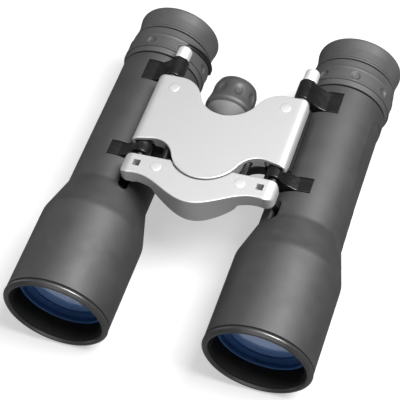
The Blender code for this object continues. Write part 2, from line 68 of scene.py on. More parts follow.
# Sizes that the frame gives
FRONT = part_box("left_objective_rim")[0].y / MM
AXIS_HEIGHT = centre_of("left_objective_rim").z
AXIS_X = centre_of("left_objective_rim").x
RIM_RADIUS = half_size_of("left_objective_rim").x
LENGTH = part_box("left_eyecup")[1].y / MM - FRONT
ROD_X = centre_of("left_hinge_rod").x
ROD_HEIGHT = centre_of("left_hinge_rod").z - AXIS_HEIGHT
ROD_RADIUS = half_size_of("left_hinge_rod").x
CAP_RADIUS = half_size_of("left_rod_cap").x
BRIDGE_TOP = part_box("bridge_cover")[1].z / MM - AXIS_HEIGHT
BRIDGE_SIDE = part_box("bridge_cover")[1].x / MM
BRIDGE_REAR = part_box("bridge_cover")[1].y / MM - FRONT
ARM_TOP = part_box("focus_arm")[1].z / MM - AXIS_HEIGHT
ARM_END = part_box("focus_arm")[1].x / MM

# Barrels
BELL_RADIUS = 19.6
BARREL_RADIUS = 15.6
ARMOUR_INSIDE = 1.0
SHOULDER = 37.5
WAIST = 52.0
SEAM = 113.6
CUP_SHORTER = 0.5
CUP_END = LENGTH - CUP_SHORTER
BRACKETS = {"front": (62.9, 68.6), "rear": (100.5, 109.5)}
FOOT_ANGLES = (85.2, 138.8)
FOOT_INSIDE = 14.6
FOOT_OUTSIDE = 15.2
RECESS_MARGIN = 0.3
RECESS_FRONT = 0.55
RECESS_LIP = 0.16
RECESS_ANGLES = (84.0, 140.0)
RECESS_DEPTH = 1.08
SLOT = (49.9, 58.2)
SLOT_WIDTH = 4.0
SLOT_REACH = (11.0, 19.0)
LIP_HEIGHT = 0.16
PANEL_REAR = 107.8
PANEL_FRONT = 54.0
PANEL_HALF = 7.7
PANEL_TAPER_START = 86.0
PANEL_TAPER = 0.11
PANEL_DEPTH = 0.4
PANEL_CORNER = 3.5
PANEL_SLOPE = 0.9
DIMPLE_COUNT = 8
DIMPLE_ANGLE = 77.3
DIMPLE_STATION = 119.0
DIMPLE_RADIUS = 1.8
DIMPLE_DEPTH = 0.55
RING_RADIUS = 16.5
BAND_BASE = 16.15
BAND_RISE = 1.25
BAND_WIDTH = 2.6
BAND_HALF = [(-1.0, -0.3), (-0.92, 0.85), (-0.7, 1.0), (-0.3, 1.0), (-0.12, 0.75)]
BAND_CORNERS = BAND_HALF + [(0.0, 0.45)] + [(-x, y) for x, y in BAND_HALF[::-1]]
DIOPTRE_BAND = {"angles": (122.0, 200.0), "stations": (121.5, 125.0)}
STOP_BAND = {"angles": (146.0, 200.0), "stations": (122.6, 125.2)}
GLASS_RADIUS = 16.2
CORE_RADIUS = 14.2
CELL_INSIDE = 16.25
CELL_OUTSIDE = 16.9

# Bridge and arm
SPLIT = 17.5
BASE_BOTTOM = 13.1
BRIDGE_RISE = 5.1
BRIDGE_DROP = 4.2
NOTCH_STATION = 96.2
NOTCH_RADIUS = 11.8
CHEEK_CENTRE = (20.5, 87.9)
TONGUE_STATION = 68.1
TONGUE_RADIUS = 13.55
BAY_CENTRE = (20.2, 59.7)
BRIDGE_CORNER = 66.2
COVER_SIDE = BRIDGE_SIDE - 0.9
COVER_SQUARENESS = 0.6
HALF_GAP = 0.15
REAR_CORNER = 2.2
COVER_SCREW = (21.5, 92.7)
CAP_VISIBLE = CAP_RADIUS - 0.2
ARM_SCREW = (15.7, 55.7)
SCREW_RADIUS = 2.04
SCREW_HEIGHT = 0.22
SCREW_DOME = 0.05
SCREW_RIM = 0.28
SCREW_OVERLAP = 0.04
ARM_FRONT = 43.5
ARM_WAVE = 7.8
ARM_WAVE_WIDTH = 22.5
ARM_REAR = 59.8
ARM_CORNER = 3.5
ARM_CORNER_REAR = 54.0
ARM_EDGE_HEIGHT = 18.2
ARM_UNDERSIDE = 16.9
ARM_BOWL = (16.0, 6.0)
EDGE_RADIUS = 0.4
EYE_RADIUS = 3.2
FINGER = (55.0, 57.6)
WINDOW = (21.8, 24.4)
WINDOW_STATIONS = (54.5, 57.1)
KNUCKLE_RADIUS = 3.5
KNUCKLE_ROOMS = (((20.9, 28.0), 21.1), ((27.0, 34.0), 19.0))
PIN_X = 15.2
PIN_HEIGHT = 19.5
PIN_HOLE = 1.5
SKIN = 1.5

# Knob
KNOB_RADIUS = 8.3
KNOB_DIMPLES = 8
KNOB_DIMPLE_STATION = 95.2
KNOB_DIMPLE_SIZE = (1.75, 2.6)
KNOB_DIMPLE_DEPTH = 0.6

# A point nearer to the middle than this has no mirror image
ON_THE_MIDDLE = 0.3

# How many flats a round piece has
FINEST = 288
FINER = 192
LARGE = 160
MEDIUM = 96
SMALL = 48


def place(x, station, height):
    """A place on the object in the shared frame, in metres."""
    return Vector((x, station + FRONT, height + AXIS_HEIGHT)) * MM


# ---- outlines

def curve(centre, radii, start, end, steps):
    """Points along an arc of a circle or an ellipse, its angles in degrees."""
    points = []
    for step in range(steps + 1):
        angle = math.radians(start + (end - start) * step / steps)
        points.append((centre[0] + radii[0] * math.cos(angle),
                       centre[1] + radii[1] * math.sin(angle)))
    return points


def arc(centre, radius, start, end, steps):
    """Points along a circular arc, its angles in degrees."""
    return curve(centre, (radius, radius), start, end, steps)


def bend(start, control, end, steps):
    """Points along a smooth bend from start to end that leans towards control."""
    points = []
    for step in range(steps + 1):
        t = step / steps
        weights = ((1 - t) ** 2, 2 * t * (1 - t), t * t)
        points.append(tuple(weights[0] * a + weights[1] * b + weights[2] * c
                            for a, b, c in zip(start, control, end)))
    return points


def both_halves(half):
    """The closed outline whose right half is given, from front to back or bottom to top."""
    return half + [(-x, y) for x, y in reversed(half) if x > ON_THE_MIDDLE]


def rounded(points, steps=4):
    """An open outline of (a, b, radius) corners, each rounded off by its radius."""
    result = []
    for index, (a, b, *radii) in enumerate(points):
        corner = Vector((a, b))
        if not radii or index in (0, len(points) - 1):
            result.append((a, b))
            continue
        before = Vector(points[index - 1][:2]) - corner
        after = Vector(points[index + 1][:2]) - corner
        half_angle = before.angle(after) / 2
        reach = min(radii[0] / math.tan(half_angle), 0.48 * before.length,
                    0.48 * after.length)
        radius = reach * math.tan(half_angle)
        middle = (before.normalized() + after.normalized()).normalized()
        centre = corner + middle * (radius / math.sin(half_angle))
        first = corner + before.normalized() * reach - centre
        last = corner + after.normalized() * reach - centre
        start = math.atan2(first.y, first.x)
        sweep = (math.atan2(last.y, last.x) - start + math.pi) % math.tau - math.pi
        for step in range(steps + 1):
            angle = start + sweep * step / steps
            result.append((centre.x + radius * math.cos(angle),
                           centre.y + radius * math.sin(angle)))
    return result


def smooth_step(value):
    """0 below 0, 1 above 1, and a smooth rise between."""
    value = min(1.0, max(0.0, value))
    return value * value * (3 - 2 * value)


def box_distance(across, along, half_width, low, high, corner):
    """How far a point is outside a rounded rectangle; negative inside."""
    a = abs(across) - half_width + corner
    b = abs(along - (low + high) / 2) - (high - low) / 2 + corner
    outside = math.hypot(max(a, 0.0), max(b, 0.0))
    return outside + min(max(a, b), 0.0) - corner


# ---- meshes

def even_angles(count):
    """Evenly spaced angles round a circle, in degrees."""
    return [360 * step / count for step in range(count)]


def revolve(outer, centre, flats=LARGE, inner=(), side=1, relief=None, angles=None):
    """A closed solid turned about a line along Y.

    outer and inner hold (station, radius) points. relief says how far the outer skin
    moves out at an angle and a station.
    """
    bm = bmesh.new()
    angles = angles or even_angles(flats)
    rings = []
    for points, shaped in ((outer, relief), (inner, None)):
        for station, radius in points:
            if radius == 0:
                rings.append([bm.verts.new(place(centre[0], station, centre[1]))])
                continue
            ring = []
            for angle in angles:
                reach = radius + (shaped(angle, station) if shaped else 0.0)
                x = centre[0] + side * reach * math.cos(math.radians(angle))
                height = centre[1] + reach * math.sin(math.radians(angle))
                ring.append(bm.verts.new(place(x, station, height)))
            rings.append(ring)
    pairs = list(zip(rings, rings[1:]))
    if outer[0][1] > 0:
        pairs.append((rings[-1], rings[0]))
    count = len(angles)
    for ring, following in pairs:
        for index in range(count):
            after = (index + 1) % count
            near = [ring[index], ring[after]] if len(ring) > 1 else ring
            far = [following[after], following[index]] if len(following) > 1 else following
            bm.faces.new(near + far)
    bmesh.ops.recalc_face_normals(bm, faces=bm.faces)
    return bm


def upright(profile, x, station):
    """A solid turned about an upright line: the profile holds (height, radius) points."""
    bm = bmesh.new()
    verts = [bm.verts.new(place(x + radius, station, height)) for height, radius in profile]
    edges = [bm.edges.new(pair) for pair in zip(verts, verts[1:])]
    bmesh.ops.spin(bm, geom=verts + edges, cent=place(x, station, 0), axis=(0, 0, 1),
                   angle=math.tau, steps=SMALL, use_merge=True)
    bmesh.ops.remove_doubles(bm, verts=bm.verts, dist=1e-7)
    bmesh.ops.recalc_face_normals(bm, faces=bm.faces)
    return bm


def extruded(outline, low, high, to_place):
    """A solid with one outline from low to high; to_place says which way that is."""
    bm = bmesh.new()
    face = bm.faces.new([bm.verts.new(to_place(a, b, low)) for a, b in outline])
    rise = to_place(0, 0, high) - to_place(0, 0, low)
    copy = bmesh.ops.extrude_face_region(bm, geom=[face])
    moved = [item for item in copy["geom"] if isinstance(item, bmesh.types.BMVert)]
    bmesh.ops.translate(bm, verts=moved, vec=rise)
    bmesh.ops.recalc_face_normals(bm, faces=bm.faces)
    return bm


def inset(outline, amount):
    """The outline moved inwards by an amount, corner by corner."""
    area = sum(a[0] * b[1] - b[0] * a[1] for a, b in zip(outline, outline[1:] + outline[:1]))
    turn = 1 if area > 0 else -1
    result = []
    for index, point in enumerate(outline):
        here = Vector(point)
        before = (here - Vector(outline[index - 1])).normalized()
        after = (Vector(outline[(index + 1) % len(outline)]) - here).normalized()
        inwards = Vector((-(before + after).y, (before + after).x)).normalized() * turn
        lean = max(0.5, before.dot((before + after).normalized()))
        result.append(tuple(here + inwards * amount / lean))
    return result


def closed_skin(bm, loops):
    """The solid whose skin runs over a row of loops, with a face at each end."""
    for loop, following in zip(loops, loops[1:]):
        for index in range(len(loop)):
            after = (index + 1) % len(loop)
            bm.faces.new((loop[index], loop[after], following[after], following[index]))
    bm.faces.new(loops[0])
    bm.faces.new(loops[-1])
    bmesh.ops.recalc_face_normals(bm, faces=bm.faces)
    return bm


def rounded_solid(outline, low, high, radius, to_place):
    """A solid with one outline from low to high, its rim rounded at both ends."""
    bm = bmesh.new()
    rings = []
    steps = 4
    for step in range(steps + 1):
        angle = math.pi / 2 * step / steps
        rings.append((low + radius * (1 - math.sin(angle)), radius * (1 - math.cos(angle))))
    rings = rings[::-1] + [(high + low - level, amount) for level, amount in rings]
    loops = []
    for level, amount in rings:
        shape = inset(outline, amount) if amount > 0 else outline
        loops.append([bm.verts.new(to_place(a, b, level)) for a, b in shape])
    return closed_skin(bm, loops)


def split_along(bm, lines):
    """Adds edges where upright planes at the given x values cross the mesh."""
    for x in lines:
        geometry = bm.verts[:] + bm.edges[:] + bm.faces[:]
        bmesh.ops.bisect_plane(bm, geom=geometry, dist=1e-7, plane_co=place(x, 0, 0),
                               plane_no=(1, 0, 0))


def shaped_plate(outline, bottom, top, radius):
    """A plate between two profiles of (x, height) points, with rounded rims.

    Each profile holds the points from the middle to the outer end.
    """
    low, high = bottom[0][1], top[0][1]
    middle = (low + high) / 2
    bm = rounded_solid(outline, low, high, radius, place)
    reach = max(x for x, _ in outline)
    lines = {round(x, 4) for x, _ in bottom + top if 0.01 < x < reach - 0.01}
    split_along(bm, sorted(lines) + [-x for x in lines])
    for vert in bm.verts:
        x = abs(vert.co.x) / MM
        profile, flat = (top, high) if vert.co.z / MM - AXIS_HEIGHT > middle else (bottom, low)
        vert.co.z += (height_on(profile, x) - flat) * MM
    return bm


def height_on(profile, x):
    """The height of a profile of (x, height) points at x."""
    for (first, low), (last, high) in zip(profile, profile[1:]):
        if x <= last:
            return low + (high - low) * (x - first) / (last - first)
    return profile[-1][1]


def plate(outline, low, high):
    """A plate whose outline of (x, station) points stands from low to high."""
    return extruded(outline, low, high, place)


def block(x, station, height):
    """A box between three pairs of limits."""
    corners = [(x[0], station[0]), (x[1], station[0]), (x[1], station[1]), (x[0], station[1])]
    return plate(corners, height[0], height[1])


def cylinder(centre, radius, start, end):
    """A plain round bar along Y, used for cutting and joining."""
    return revolve([(start, 0), (start, radius), (end, radius), (end, 0)], centre, SMALL)


def as_object(name, bm):
    """An object in the scene made from a mesh, which is used up."""
    mesh = bpy.data.meshes.new(name)
    bm.to_mesh(mesh)
    bm.free()
    item = bpy.data.objects.new(name, mesh)
    bpy.context.scene.collection.objects.link(item)
    return item


def combined(bm, cuts, joins=()):
    """The mesh after the joins, and then the cuts, with other meshes in turn."""
    item = as_object("work", bm)
    steps = [("UNION", other) for other in joins] + [("DIFFERENCE", other) for other in cuts]
    tools = []
    for operation, other in steps:
        tool = as_object("tool", other)
        modifier = item.modifiers.new("step", "BOOLEAN")
        modifier.operation = operation
        modifier.solver = "EXACT"
        modifier.object = tool
        tools.append(tool)
    graph = bpy.context.evaluated_depsgraph_get()
    result = bmesh.new()
    result.from_mesh(item.evaluated_get(graph).to_mesh())
    for used in [item, *tools]:
        bpy.data.objects.remove(used)
    return result


def axis_of(side):
    """A barrel's axis as x and height."""
    return (SIDES[side] * AXIS_X, 0.0)


def rod_of(side):
    """A hinge rod's axis as x and height."""
    return (SIDES[side] * ROD_X, ROD_HEIGHT)


def mirrored(outline, side):
    """An outline drawn for the left side, put on the given side."""
    return [(SIDES[side] * x, y) for x, y in outline]


def add(name, bm, finish, body, replaced=(), weighted=False, sharp=35):
    """A visible piece on a CAD body, with its finish and the CAD nodes that it stands for.

    weighted keeps large flat faces flat where they meet rounded rims.
    """
    piece = as_object(name, bm)
    material, slot = finish
    piece.data.materials.append(material)
    piece.data.shade_smooth()
    piece.data.set_sharp_from_angle(angle=math.radians(sharp))
    if weighted:
        shading = piece.modifiers.new("shading", "WEIGHTED_NORMAL")
        shading.keep_sharp = True
    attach(piece, body)
    if replaced:
        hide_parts(*replaced)


# ---- materials

def set_inputs(node, sockets):
    """Give a node's inputs their values; an underscore stands for a space."""
    for socket, value in sockets.items():
        node.inputs[socket.replace("_", " ")].default_value = value


def new_node(owner, kind, **sockets):
    """A node in a material or a world, with values for some of its inputs."""
    node = owner.node_tree.nodes.new(kind)
    set_inputs(node, sockets)
    return node


def connect(owner, source, target):
    """A link from one node's output to another node's input."""
    owner.node_tree.links.new(source, target)


def feed(material, source, name):
    """A link from an output to an input of the material's Principled shader."""
    connect(material, source, material.node_tree.nodes["Principled BSDF"].inputs[name])


def new_material(name, colour, roughness, metallic=0.0, **sockets):
    """A Principled material; sockets gives any further inputs by name."""
    material = bpy.data.materials.new(name)
    material.use_nodes = True
    set_inputs(material.node_tree.nodes["Principled BSDF"],
               {"Base Color": (*colour, 1), "Roughness": roughness, "Metallic": metallic,
                **sockets})
    return material


def texture(material, kind, output, **sockets):
    """A texture's output, on the object's own coordinates in metres."""
    nodes = material.node_tree.nodes
    where = nodes.get("Texture Coordinate") or nodes.new("ShaderNodeTexCoord")
    node = new_node(material, kind, **sockets)
    connect(material, where.outputs["Object"], node.inputs["Vector"])
    return node.outputs[output]


def noise(material, scale, detail=3.0):
    """A noise texture's output; scale is in waves per metre."""
    return texture(material, "ShaderNodeTexNoise", "Fac", Scale=scale, Detail=detail)


def ranged(material, source, low, high):
    """The source's middle values stretched to run from low to high."""
    spread = new_node(material, "ShaderNodeMapRange", From_Min=0.35, From_Max=0.65,
                      To_Min=low, To_Max=high)
    connect(material, source, spread.inputs["Value"])
    return spread.outputs["Result"]


def vary_roughness(material, scale, low, high):
    """Roughness that wanders between two values."""
    feed(material, ranged(material, noise(material, scale), low, high), "Roughness")


def vary_colour(material, scale, dark, light):
    """A colour that wanders between two shades."""
    ramp = new_node(material, "ShaderNodeValToRGB")
    steps = zip(ramp.color_ramp.elements, (0.35, 0.65), (dark, light))
    for element, position, colour in steps:
        element.position = position
        element.color = (*colour, 1)
    connect(material, noise(material, scale, 4.0), ramp.inputs["Fac"])
    feed(material, ramp.outputs["Color"], "Base Color")


def add_bump(material, source, height, strength):
    """Fine relief in the surface; height is in millimetres."""
    bump = new_node(material, "ShaderNodeBump", Strength=strength, Distance=height * MM)
    connect(material, source, bump.inputs["Height"])
    feed(material, bump.outputs["Normal"], "Normal")


def soft_rubber(name, dark, light, roughness):
    """Moulded rubber: a fine pebble, a soft sheen and slightly uneven colour."""
    material = new_material(name, light, roughness, Specular_IOR_Level=0.75)
    vary_colour(material, 90, dark, light)
    vary_roughness(material, 160, roughness - 0.04, roughness + 0.04)
    cells = texture(material, "ShaderNodeTexVoronoi", "Distance", Scale=3800)
    add_bump(material, cells, 0.02, 0.5)
    return material


def satin_metal(name, colour, roughness):
    """Blasted and lacquered metal with a very fine, even grain."""
    material = new_material(name, colour, roughness, 0.8, Coat_Weight=0.15,
                            Coat_Roughness=0.25)
    vary_roughness(material, 700, roughness - 0.008, roughness + 0.008)
    add_bump(material, noise(material, 5200), 0.003, 0.3)
    return material


def hard_plastic(name, dark, light, roughness, texture_height=0.004, specular=0.5):
    """Moulded plastic: nearly smooth, with a faint waviness."""
    material = new_material(name, light, roughness, Specular_IOR_Level=specular)
    vary_colour(material, 120, dark, light)
    vary_roughness(material, 500, roughness - 0.04, roughness + 0.05)
    add_bump(material, noise(material, 2600), texture_height, 0.5)
    return material


def turned_metal(name, colour, roughness):
    """Bare metal with fine lathe lines along its length."""
    material = new_material(name, colour, roughness, 1.0)
    where = new_node(material, "ShaderNodeTexCoord")
    stretch = new_node(material, "ShaderNodeMapping", Scale=(600, 9000, 600))
    lines = new_node(material, "ShaderNodeTexNoise", Scale=1.0, Detail=2.0)
    connect(material, where.outputs["Object"], stretch.inputs["Vector"])
    connect(material, stretch.outputs["Vector"], lines.inputs["Vector"])
    source = lines.outputs["Fac"]
    add_bump(material, source, 0.004, 0.25)
    feed(material, ranged(material, source, roughness - 0.05, roughness + 0.08), "Roughness")
    return material


def glass(name, colour):
    """Polished glass, very slightly uneven in its polish."""
    material = new_material(name, colour, 0.02, IOR=1.5, Transmission_Weight=1.0)
    vary_roughness(material, 300, 0.02, 0.04)
    return material


def grey(level, blue=0.0):
    """A grey with a little extra blue."""
    return (level, level, level + blue)


def make_finishes():
    """Every finish as (material, the record's slot)."""
    return {
        "armour": (soft_rubber("armour", grey(0.013, 0.0005), grey(0.018, 0.0005), 0.60),
                   "armour_rubber"),
        "rubber": (soft_rubber("soft_parts", grey(0.022, 0.001), grey(0.030, 0.001), 0.66),
                   "eyecup_rubber"),
        "knob": (soft_rubber("knob_rubber", grey(0.020, 0.001), grey(0.027, 0.001), 0.60),
                 "eyecup_rubber"),
        "knob_face": (soft_rubber("knob_face", grey(0.095, 0.001), grey(0.115, 0.001), 0.50),
                      "black_plastic"),
        "black": (hard_plastic("black", grey(0.004), grey(0.007), 0.28, specular=0.4),
                  "black_plastic"),
        "band": (hard_plastic("band", grey(0.003), grey(0.006), 0.50, specular=0.35),
                 "black_plastic"),
        "rim": (hard_plastic("rim", grey(0.014), grey(0.020), 0.34, 0.002, 1.0),
                "rim_plastic"),
        "inside": (hard_plastic("inside", grey(0.003), grey(0.005), 0.75, specular=0.2),
                   "tube_plastic"),
        # The base is near black: its own dark plastic, darkened further as painted shade in the gap
        # under the cover
        "base": (hard_plastic("base", grey(0.003), grey(0.006), 0.50, specular=0.25),
                 "base_plastic"),
        "silver": (satin_metal("silver", grey(0.545, 0.003), 0.48), "silver"),
        "screw": (satin_metal("screw", grey(0.64, 0.003), 0.46), "silver"),
        "cap": (satin_metal("cap", grey(0.90), 0.45), "cap_silver"),
        "steel": (turned_metal("steel", grey(0.55, 0.01), 0.28), "steel"),
        "dark_steel": (turned_metal("dark_steel", grey(0.06, 0.002), 0.35), "steel"),
        "brass": (turned_metal("brass", (0.65, 0.48, 0.22), 0.30), "brass"),
        "clear": (glass("clear_glass", (0.90, 0.94, 0.98)), "clear_glass"),
        "lens": (glass("lens_glass", (0.90, 0.95, 1.0)), "coated_glass"),
        "eye_lens": (glass("eye_glass", (0.80, 0.86, 0.95)), "coated_glass"),
        # Painted reflection of the lens coating: lighter blue for the core disc, darker blue for the
        # seat ring and lens ring
        "coating_reflection_disc": (hard_plastic("coating_reflection_disc", (0.14, 0.25, 0.50), (0.155, 0.265, 0.53),
                                   0.45, 0.0004), "coated_glass"),
        "coating_reflection_ring": (hard_plastic("coating_reflection_ring", (0.03, 0.10, 0.26), (0.035, 0.11, 0.28),
                                   0.45, 0.0004), "coated_glass"),
    }


# ---- barrels

def barrel_rows():
    """The armour's outside as (station, radius), close together where it has detail."""
    profile = rounded([(2.5, BELL_RADIUS - 0.4), (2.6, BELL_RADIUS, 0.3),
                       (SHOULDER, BELL_RADIUS, 8.0), (WAIST, BARREL_RADIUS, 7.0),
                       (SEAM - 0.4, BARREL_RADIUS, 0.3), (SEAM - 0.3, BARREL_RADIUS - 0.4)],
                      8)
    stations = {station for station, _ in profile}
    stations |= {3.0 + step * 1.5 for step in range(74)}
    for start, end in BRACKETS.values():
        stations |= set(edge_lines(start - RECESS_FRONT, -1))
        stations |= set(edge_lines(end + RECESS_MARGIN, 1))
    stations |= {SLOT[0] - 2.0 + step * 0.4 for step in range(28)}
    stations |= {PANEL_REAR - 4.5 + step * 0.35 for step in range(16)}
    rows = sorted(station for station in stations if 2.6 < station < SEAM - 0.31)
    kept = [rows[0]]
    for station in rows[1:]:
        if station - kept[-1] > 0.04:
            kept.append(station)
    inside = [(station, radius_on(profile, station)) for station in kept]
    return [profile[0]] + inside + [profile[-1]]


def edge_lines(edge, outwards):
    """Grid lines beside a recess's edge, so that its lip can be rounded."""
    return [edge + outwards * offset for offset in (-0.06, 0.0, 0.05, 0.1, 0.17, 0.4)]


def radius_on(profile, station):
    """The radius at a station, along a profile with rising stations."""
    for (first, low), (last, high) in zip(profile, profile[1:]):
        if first <= station <= last:
            share = (station - first) / (last - first) if last > first else 0
            return low + (high - low) * share
    return profile[-1][1]


def barrel_angles():
    """Angles round the armour, close together at the ends of the recesses."""
    angles = set(even_angles(LARGE))
    for edge, outwards in ((RECESS_ANGLES[0], -1), (RECESS_ANGLES[1], 1)):
        for line in edge_lines(0.0, outwards):
            angles.add(edge + math.degrees(line / BARREL_RADIUS))
    kept = []
    for angle in sorted(angles):
        if not kept or angle - kept[-1] > 0.2:
            kept.append(angle)
    return kept


def recess_relief(angle, station):
    """How deep the armour is cut away under the two brackets, with a rounded lip."""
    middle = sum(RECESS_ANGLES) / 2
    across = math.radians(angle - middle) * BARREL_RADIUS
    half = math.radians(RECESS_ANGLES[1] - RECESS_ANGLES[0]) / 2 * BARREL_RADIUS
    deepest = 0.0
    for start, end in BRACKETS.values():
        away = box_distance(across, station, half, start - RECESS_FRONT,
                            end + RECESS_MARGIN, 0.05)
        if away < -0.03:
            depth = RECESS_DEPTH
        elif away < RECESS_LIP:
            share = max(0.0, 1 - away / RECESS_LIP)
            depth = RECESS_LIP * (1 - math.sqrt(max(0.0, 1 - share * share)))
        else:
            depth = 0.0
        deepest = max(deepest, depth)
    return -deepest


def panel_relief(angle, station):
    """The shallow flat panel on the barrel's outer side."""
    turn = (angle + 180) % 360 - 180
    across = math.radians(turn) * BARREL_RADIUS
    half = PANEL_HALF - PANEL_TAPER * max(0.0, PANEL_TAPER_START - station)
    away = box_distance(across, station, half, PANEL_FRONT, PANEL_REAR, PANEL_CORNER)
    return -PANEL_DEPTH * smooth_step(-away / PANEL_SLOPE)


def slot_relief(angle, station):
    """A slightly raised lip round the focus slot."""
    rod_angle = math.degrees(math.atan2(ROD_HEIGHT, ROD_X - AXIS_X))
    across = math.radians(angle - rod_angle) * BARREL_RADIUS
    away = box_distance(across, station, SLOT_WIDTH / 2, SLOT[0], SLOT[1], SLOT_WIDTH / 2)
    return LIP_HEIGHT * math.exp(-((away - 0.55) / 0.45) ** 2)


def armour_relief(angle, station):
    """All of the armour's relief together."""
    return (recess_relief(angle, station) + panel_relief(angle, station)
            + slot_relief(angle, station))


def spoke_place(side):
    """Places in the plane through a barrel's axis and its hinge rod."""
    towards = Vector((-SIDES[side] * (AXIS_X - ROD_X), ROD_HEIGHT)).normalized()
    across = Vector((towards.y, -towards.x))

    def to_place(station, sideways, out):
        spot = towards * out + across * sideways
        return place(SIDES[side] * AXIS_X + spot.x, station, spot.y)
    return to_place


def add_armour(side, finishes):
    """The rubber armour with its side panel, bracket recesses and focus slot."""
    rows = barrel_rows()
    inner = [(station, radius - ARMOUR_INSIDE - 0.2) for station, radius in rows[::-1]
             if station in (rows[0][0], rows[-1][0]) or 36 < station < 54]
    body = revolve(rows, axis_of(side), inner=inner, side=SIDES[side],
                   relief=armour_relief, angles=barrel_angles())
    half = SLOT_WIDTH / 2
    outline = (arc((SLOT[0] + half, 0), half, 90, 270, 14)
               + arc((SLOT[1] - half, 0), half, -90, 90, 14))
    body = combined(body, [extruded(outline, *SLOT_REACH, spoke_place(side))])
    add(side + "_armour", body, finishes["armour"], side + "_barrel",
        [side + "_barrel_armour"], sharp=50)


def add_rim(side, finishes):
    """The satin bead round the objective, and the black wall inside it."""
    bead = rounded([(2.25, 17.2), (1.1, 17.2, 0.2), (0.0, 17.85, 0.6), (0.0, 18.7, 0.8),
                    (1.2, RIM_RADIUS - 0.02, 1.0), (2.25, 19.35, 0.3), (2.25, 17.2)], 8)
    add(side + "_rim", revolve(bead[:-1], axis_of(side)), finishes["rim"],
        side + "_barrel", [side + "_objective_rim"])
    wall = rounded([(4.3, 16.9), (1.25, 17.15), (0.62, 17.15, 0.15), (1.5, 16.5, 0.4),
                    (1.9, 16.38, 0.4), (4.3, 16.38)], 4)
    add(side + "_bore", revolve(wall, axis_of(side)), finishes["inside"],
        side + "_barrel")
    sleeve = [(4.5, 17.2), (14.0, 17.2), (14.0, 17.0), (4.5, 17.0)]
    add(side + "_sleeve", revolve(sleeve, axis_of(side)), finishes["inside"],
        side + "_barrel")


def bulge(start, depth, radius, steps=14):
    """A shallow spherical face from its pole to its edge as (station, radius) points."""
    return [(start + depth * (step / steps) ** 2, radius * step / steps)
            for step in range(steps + 1)]


def add_objective(side, finishes):
    """The front glass; behind it a seat ring and a core disc, blue as painted reflection of the lens
    coating, lighter on the core and darker on the ring; and the cell that holds them.
    """
    body = side + "_objective"
    axis = axis_of(side)
    glass_body = bulge(8.0, 0.55, GLASS_RADIUS) + bulge(8.4, 0.55, GLASS_RADIUS)[::-1]
    add(side + "_front_lens", revolve(glass_body, axis), finishes["lens"], body,
        [side + "_objective_lens"])
    # The seat ring's darker blue is painted reflection of the lens coating
    seat = rounded([(10.9, 13.5), (10.8, 13.8, 0.1), (10.6, GLASS_RADIUS),
                    (11.4, GLASS_RADIUS), (12.2, 13.5)], 4)
    add(side + "_coating_reflection_ring", revolve(seat, axis), finishes["coating_reflection_ring"], body)
    # The core disc's blue is painted reflection of the lens coating
    core = bulge(11.1, 0.6, CORE_RADIUS) + [(13.2, CORE_RADIUS), (13.2, 0)]
    add(side + "_coating_reflection_disc", revolve(core, axis), finishes["coating_reflection_disc"], body)
    # The lens ring carries the same painted reflection as the seat ring
    ring = rounded([(8.56, 16.02), (8.38, 16.02, 0.06), (8.38, CELL_OUTSIDE, 0.1),
                    (11.0, CELL_OUTSIDE), (11.0, CELL_INSIDE), (8.56, CELL_INSIDE)], 3)
    add(side + "_lens_ring", revolve(ring, axis), finishes["coating_reflection_ring"], body)
    cell = [(11.1, CELL_INSIDE), (11.1, CELL_OUTSIDE), (17.0, CELL_OUTSIDE),
            (17.0, 15.4), (15.9, 15.4), (15.9, CELL_INSIDE)]
    add(side + "_cell", revolve(cell, axis), finishes["inside"], body,
        [side + "_objective_cell"])


def bracket_outline(side):
    """A hinge bracket from the front: knuckle, web and a foot curved to the barrel."""
    axis = (AXIS_X, 0.0)
    rod = (ROD_X, ROD_HEIGHT)
    foot = arc(axis, FOOT_OUTSIDE, FOOT_ANGLES[0], 102, 8)
    knuckle = arc(rod, KNUCKLE_RADIUS, 52, 250, 40)
    web_top = bend(foot[-1], (29.4, 16.6), knuckle[0], 14)
    end = math.radians(FOOT_ANGLES[1])
    foot_end = (AXIS_X + FOOT_OUTSIDE * math.cos(end), FOOT_OUTSIDE * math.sin(end))
    underside = arc(axis, FOOT_INSIDE, FOOT_ANGLES[1], FOOT_ANGLES[0], 16)
    return mirrored(foot + web_top[1:-1] + knuckle + [foot_end] + underside, side)


def add_brackets(side, finishes):
    """The two gloss black hinge brackets."""
    for name, (start, end) in BRACKETS.items():
        solid = rounded_solid(bracket_outline(side), start, end, 0.35,
                              lambda a, b, c: place(a, c, b))
        hole = cylinder(rod_of(side), ROD_RADIUS + 0.25, start - 1, end + 1)
        add(side + "_" + name + "_lug", combined(solid, [hole]), finishes["black"], side + "_barrel",
            [side + "_" + name + "_bracket"], weighted=True)


def dimple_relief(angle, station):
    """Round dimples with a faint lip, evenly spaced round the grip ring."""
    pitch = 360 / DIMPLE_COUNT
    turn = (angle - DIMPLE_ANGLE + pitch / 2) % pitch - pitch / 2
    away = math.hypot(math.radians(turn) * RING_RADIUS, station - DIMPLE_STATION) - DIMPLE_RADIUS
    lip = 0.09 * math.exp(-((away - 0.35) / 0.25) ** 2)
    return lip - DIMPLE_DEPTH * smooth_step(-away / 0.6)


def dense(profile, step):
    """A profile with extra points, so that none are further apart than step."""
    points = [profile[0]]
    for (a, b), (c, d) in zip(profile, profile[1:]):
        count = max(1, math.ceil(math.hypot(c - a, d - b) / step))
        points += [(a + (c - a) * i / count, b + (d - b) * i / count)
                   for i in range(1, count + 1)]
    return points


